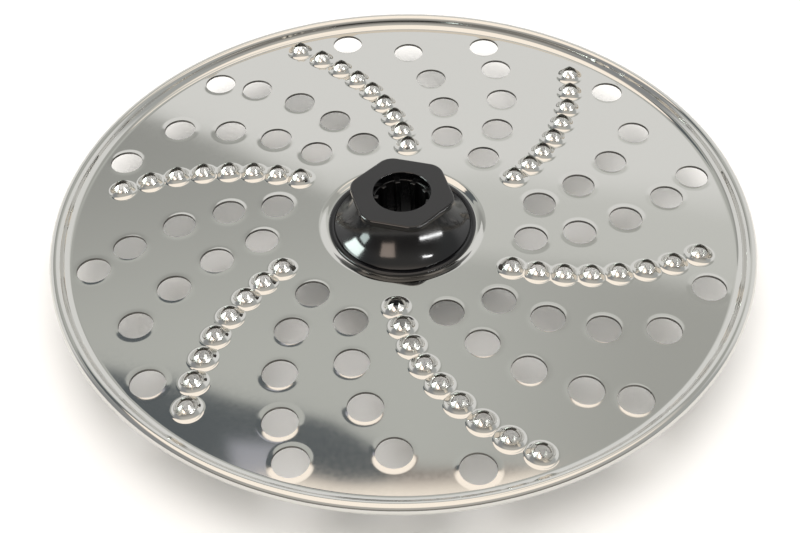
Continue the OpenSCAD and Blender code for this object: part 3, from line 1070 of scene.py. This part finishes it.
@dataclass(frozen=True)
class Studio:
    """Floor, world and panels, with lengths in metres and directions in the sky in degrees."""

    distance: float = 1.5
    floor_half: float = 3.0
    floor_z_mm: float = -0.02
    floor_colour: str = "#F8F8F7"
    floor_glow: float = 0.06
    hub_height: float = 0.018
    top_radiance: float = 1.45
    top_size: float = 1.5
    top_colour: str = "#F6F9FF"
    sky_strength: float = 1.03
    ceiling_strength: float = 1.53
    borders_from_deg: float = -22.0
    wall_shade: Border = Border(0.4, -4.5, 43.6, 1.6)
    wall_top: Border = Border(0.45, 2.2, 44.4, 0.9)
    card_foot: Border = Border(0.3, 1.0, 54.3, 0.5)
    patch_foot: Border = Border(0.3, 1.0, 56.4, 0.8)
    torn_deg: float = 1.6
    torn_scale: float = 11.0
    haze_up: Span = (37, 50)
    haze_right: Span = (0, 19)
    card_right: Span = (-3, 1)
    patch_start: Span = (-13.6, -12.4)
    patch_end: Span = (-10, -8.6)
    ceiling_at: float = 55.3
    ceiling_fade_deg: float = 0.4
    ceiling_glow_deg: float = 1.2
    ceiling_sag: float = 0.01
    ceiling_sag_most: float = 1.0
    ceiling_right: Span = (14, 40)
    dusk_up: Span = (8, 36)
    room_up: Span = (45, 56)
    white_up: Span = (-4.0, 2.0)
    # Along X or Y of the unit direction, and not in degrees
    room_across: Span = (-0.6, 0.6)
    dusk_ahead: Span = (-0.7, -0.2)
    room_ahead: Span = (0.05, 0.35)
    panels: Sequence[Panel] = (
        Panel("window_left_upper", -93, 23, 26, 23, 24.0, "#F1FFFA", 35),
        Panel("window_left_lower", -106, 4, 15, 12, 12.0, "#EAFBF7", 35),
        Panel("window_front_warm", -153, 20, 23, 22, 5.0, "#FFE9D9"),
        Panel("strip_right_low", 124, 2.4, 46, 2.6, 40.0, "#FFFFFF", -5),
        Panel("strip_right_high", 137, 32, 14, 2.5, 50.0),
    )

    def rays(self, tree: bpy.types.NodeTree) -> tuple[bpy.types.NodeSocket, bpy.types.Node]:
        """Tells a ray's kind.

        Returns the share straight from the camera, and the share by way of a mirror or glass.
        """
        path = add(tree, "ShaderNodeLightPath")
        mirrored = add(tree, "ShaderNodeMath",
                       {0: path.outputs["Is Glossy Ray"], 1: path.outputs["Is Transmission Ray"]},
                       operation="MAXIMUM")
        return path.outputs["Is Camera Ray"], mirrored

    def floor(self) -> None:
        """Makes the plain pale floor: lit from above, with a glow that keeps its shadows light."""
        half = self.floor_half / MM
        plan = ((-half, -half), (half, -half), (half, half), (-half, half))
        mesh = plain_mesh("floor", [(x, y, self.floor_z_mm) for x, y in plan], [(0, 1, 2, 3)])
        made = bpy.data.materials.new("matt_white_paper")
        made.use_nodes = True
        tree = made.node_tree
        tree.nodes.clear()
        straight, mirrored = self.rays(tree)
        seen = add(tree, "ShaderNodeMath", {0: straight, 1: mirrored}, operation="MAXIMUM")
        strength = add(tree, "ShaderNodeMath", {0: seen, 1: self.floor_glow}, operation="MULTIPLY")
        matt = add(tree, "ShaderNodeBsdfDiffuse", {"Color": linear(self.floor_colour)})
        glow = add(tree, "ShaderNodeEmission", {"Strength": strength})
        both = add(tree, "ShaderNodeAddShader", {0: matt, 1: glow})
        add(tree, "ShaderNodeOutputMaterial", {"Surface": both})
        mesh.materials.append(made)
        linked("floor", mesh)

    def lamps(self) -> None:
        """Makes the light panels, which show in gloss and cast no hard shadow on the floor."""
        for panel in self.panels:
            azimuth, elevation = math.radians(panel.azimuth_deg), math.radians(panel.elevation_deg)
            flat = math.cos(elevation)
            towards = Vector((math.sin(azimuth) * flat, math.cos(azimuth) * flat, math.sin(elevation)))
            light = bpy.data.lights.new(panel.name, "AREA")
            light.shape = "RECTANGLE"
            light.size = 2 * self.distance * math.tan(math.radians(panel.width_deg / 2))
            light.size_y = 2 * self.distance * math.tan(math.radians(panel.height_deg / 2))
            light.energy = panel.radiance * math.pi * light.size * light.size_y
            light.color = linear(panel.colour)[:3]
            obj = bpy.data.objects.new(panel.name, light)
            obj.location = towards * self.distance + Vector((0, 0, self.hub_height))
            facing = towards.to_track_quat("Z", "Y").to_matrix().to_4x4()
            turn = Matrix.Rotation(math.radians(panel.roll_deg), 4, "Z")
            obj.rotation_euler = (facing @ turn).to_euler()
            obj.visible_camera = False
            obj.visible_diffuse = False
            bpy.context.scene.collection.objects.link(obj)
        top = bpy.data.lights.new("soft_top", "AREA")
        top.size = self.top_size
        top.color = linear(self.top_colour)[:3]
        top.energy = self.top_radiance * math.pi * self.top_size**2
        lamp = bpy.data.objects.new("soft_top", top)
        lamp.location = (0, 0, self.distance)
        lamp.visible_camera = False
        lamp.visible_glossy = False
        bpy.context.scene.collection.objects.link(lamp)

    def dim_on(self, pieces: Sequence[bpy.types.Object]) -> None:
        """Keeps the small bright panels off pieces, which then show only the walls and the ceiling."""
        shaded = bpy.data.collections.new("without_panels")
        for piece in pieces:
            shaded.objects.link(piece)
        for entry in shaded.collection_objects:
            entry.light_linking.link_state = "EXCLUDE"
        for panel in self.panels:
            bpy.data.objects[panel.name].light_linking.receiver_collection = shaded

    def fade(self, tree: bpy.types.NodeTree, value: Value, span: Span, first: Value,
             second: Value) -> bpy.types.NodeSocket:
        """Fades from one colour, as sRGB hex or a socket, to another as a value crosses a span."""
        share = add(tree, "ShaderNodeMapRange", {"Value": value, "From Min": span[0], "From Max": span[1]},
                    interpolation_type="SMOOTHSTEP")
        first, second = (linear(c) if isinstance(c, str) else c for c in (first, second))
        return add(tree, "ShaderNodeMix", {"Factor": share, 6: first, 7: second}, data_type="RGBA").outputs[2]

    def across(self, tree: bpy.types.NodeTree, border: Border, azimuth: Value, level: Value, first: Value,
               second: Value) -> bpy.types.NodeSocket:
        """Fades from one colour to another across a sloping border; both directions are in degrees."""
        held = add(tree, "ShaderNodeClamp",
                   {"Value": azimuth, "Min": self.borders_from_deg, "Max": border.last_deg})
        rise = add(tree, "ShaderNodeMath", {0: held, 1: border.rise}, operation="MULTIPLY")
        over = add(tree, "ShaderNodeMath", {0: level, 1: rise}, operation="SUBTRACT")
        half = border.width / 2
        return self.fade(tree, over, (border.at - half, border.at + half), first, second)

    def sky(self, tree: bpy.types.NodeTree) -> tuple[bpy.types.NodeSocket, bpy.types.Node, bpy.types.Node]:
        """Paints the room that the steel mirrors: bright wall, dark card, ceiling, and dusk behind.

        Returns the room's colour, its strength and the height above the horizon in degrees.
        """
        way = add(tree, "ShaderNodeTexCoord").outputs["Generated"]
        axes = add(tree, "ShaderNodeSeparateXYZ", {"Vector": way})
        side, depth = axes.outputs["X"], axes.outputs["Y"]
        turn = add(tree, "ShaderNodeMath", {0: side, 1: depth}, operation="ARCTAN2")
        azimuth = add(tree, "ShaderNodeMath", {0: turn}, operation="DEGREES")
        tilt = add(tree, "ShaderNodeMath", {0: axes.outputs["Z"]}, operation="ARCSINE")
        level = add(tree, "ShaderNodeMath", {0: tilt}, operation="DEGREES")
        ragged = add(tree, "ShaderNodeTexNoise", {"Vector": way, "Scale": self.torn_scale, "Detail": 0.0})
        shift = add(tree, "ShaderNodeMapRange",
                    {"Value": ragged, "To Min": -self.torn_deg / 2, "To Max": self.torn_deg / 2})
        torn = add(tree, "ShaderNodeMath", {0: level, 1: shift}, operation="ADD")

        haze = self.fade(tree, level, self.haze_up, "#AEAFAC", "#D3D5D1")
        haze = self.fade(tree, azimuth, self.haze_right, haze, "#BFC0BC")
        wall = self.across(tree, self.wall_shade, azimuth, level, "#FDFDFC", "#E6E7E4")
        wall = self.across(tree, self.wall_top, azimuth, level, wall, haze)
        card = self.fade(tree, azimuth, self.card_right, "#696F73", "#9A918B")
        patch = self.fade(tree, azimuth, self.patch_end, "#BDBFC9", card)
        patch = self.fade(tree, azimuth, self.patch_start, card, patch)
        card = self.across(tree, self.patch_foot, azimuth, torn, card, patch)
        wall = self.across(tree, self.card_foot, azimuth, torn, wall, card)

        square = add(tree, "ShaderNodeMath", {0: azimuth, 1: 2.0}, operation="POWER")
        sag = add(tree, "ShaderNodeMath", {0: square, 1: self.ceiling_sag}, operation="MULTIPLY")
        held = add(tree, "ShaderNodeMath", {0: sag, 1: self.ceiling_sag_most}, operation="MINIMUM")
        height = add(tree, "ShaderNodeMath", {0: level, 1: held}, operation="ADD")
        light = self.fade(tree, azimuth, self.ceiling_right, "#FFF4E8", "#BDBDB9")
        edge = (self.ceiling_at, self.ceiling_at + self.ceiling_fade_deg)
        ceiling = self.fade(tree, height, edge, wall, light)
        strength = add(tree, "ShaderNodeMapRange",
                       {"Value": height, "From Min": self.ceiling_at,
                        "From Max": self.ceiling_at + self.ceiling_glow_deg,
                        "To Min": self.sky_strength, "To Max": self.ceiling_strength},
                       interpolation_type="SMOOTHSTEP")

        dusk = self.fade(tree, level, self.dusk_up, "#8E8B87", "#D2CFC9")
        room = self.fade(tree, side, self.room_across, "#A3A5A7", "#C0C2C1")
        room = self.fade(tree, depth, self.dusk_ahead, dusk, room)
        room = self.fade(tree, level, self.room_up, room, "#FFF4E8")
        return self.fade(tree, depth, self.room_ahead, room, ceiling), strength, level

    def world(self) -> None:
        """Makes the room as one soft sky, and white behind the object and low in its mirrors."""
        world = bpy.data.worlds.new("studio")
        bpy.context.scene.world = world
        world.use_nodes = True
        tree = world.node_tree
        tree.nodes.clear()
        colour, strength, level = self.sky(tree)
        bright = add(tree, "ShaderNodeBackground", {"Color": colour, "Strength": strength})
        white = add(tree, "ShaderNodeBackground", {"Color": linear("#FFFFFF"), "Strength": 1.0})
        straight, mirrored = self.rays(tree)
        low = add(tree, "ShaderNodeMapRange",
                  {"Value": level, "From Min": self.white_up[0], "From Max": self.white_up[1],
                   "To Min": 1.0, "To Max": 0.0},
                  interpolation_type="SMOOTHSTEP")
        below = add(tree, "ShaderNodeMath", {0: low, 1: mirrored}, operation="MULTIPLY")
        seen = add(tree, "ShaderNodeMath", {0: straight, 1: below}, operation="MAXIMUM")
        both = add(tree, "ShaderNodeMixShader", {0: seen, 1: bright, 2: white})
        add(tree, "ShaderNodeOutputWorld", {"Surface": both})

    def build(self) -> None:
        """Builds the studio."""
        self.floor()
        self.lamps()
        self.world()
        bpy.context.scene.view_settings.view_transform = "Standard"


@dataclass(frozen=True)
class Camera:
    """Camera in front of the disc, above it, with a slight roll."""

    distance_mm: float = 325.402
    elevation_deg: float = 43.8174
    roll_deg: float = -1.0329
    deck_z: float = 14.0
    lens_mm: float = 57.305
    aim_px: Point2 = (2.399, -44.647)
    focal_px: float = 1273.5

    def build(self) -> None:
        """Builds the camera and makes it the scene's."""
        elevation = math.radians(self.elevation_deg)
        place = Vector((0.0, -math.cos(elevation), math.sin(elevation))) * self.distance_mm
        forward = -place.normalized()
        right = Vector((1, 0, 0))
        rows = Matrix((right, right.cross(forward), forward))
        aim = Vector((self.aim_px[0] / self.focal_px, -self.aim_px[1] / self.focal_px, 1)).normalized()
        roll = math.radians(self.roll_deg)
        turn = Matrix(((math.cos(roll), math.sin(roll), 0), (-math.sin(roll), math.cos(roll), 0), (0, 0, 1)))
        tilt = Vector((0, 0, 1)).rotation_difference(aim).to_matrix()
        view = tilt @ turn @ rows
        data = bpy.data.cameras.new("camera")
        data.sensor_width = 36.0
        data.lens = self.lens_mm
        camera = bpy.data.objects.new("camera", data)
        matrix = Matrix((view[0], view[1], -view[2])).transposed().to_4x4()
        matrix.translation = (place + Vector((0, 0, self.deck_z))) * MM
        camera.matrix_world = matrix
        bpy.context.scene.collection.objects.link(camera)
        bpy.context.scene.camera = camera


def main() -> None:
    """Builds the camera, the studio and every piece, in order."""
    logging.basicConfig(level=logging.INFO, format="%(name)s %(message)s")
    Camera().build()
    studio = Studio()
    studio.build()
    steel, drawn = SHEET.material(), DRAWN_SHEET.material()
    gloss, satin = GLOSS_HUB.material(), SATIN_HUB.material()
    ring_tree = RingTree()
    sheet = PressedSheet().build(steel, drawn, SHEARED_EDGE_AND_SHADE.material())
    studio.dim_on([sheet])
    UpperHub().build(gloss, satin)
    SeatRing().build(GLOSS_RING.material())
    DriveSleeve().build(SATIN_SLEEVE.material(), ring_tree)
    LowerHub().build(satin)
    HubScrews().build(SCREW_STEEL.material(), ring_tree)


if __name__ == "__main__":
    main()
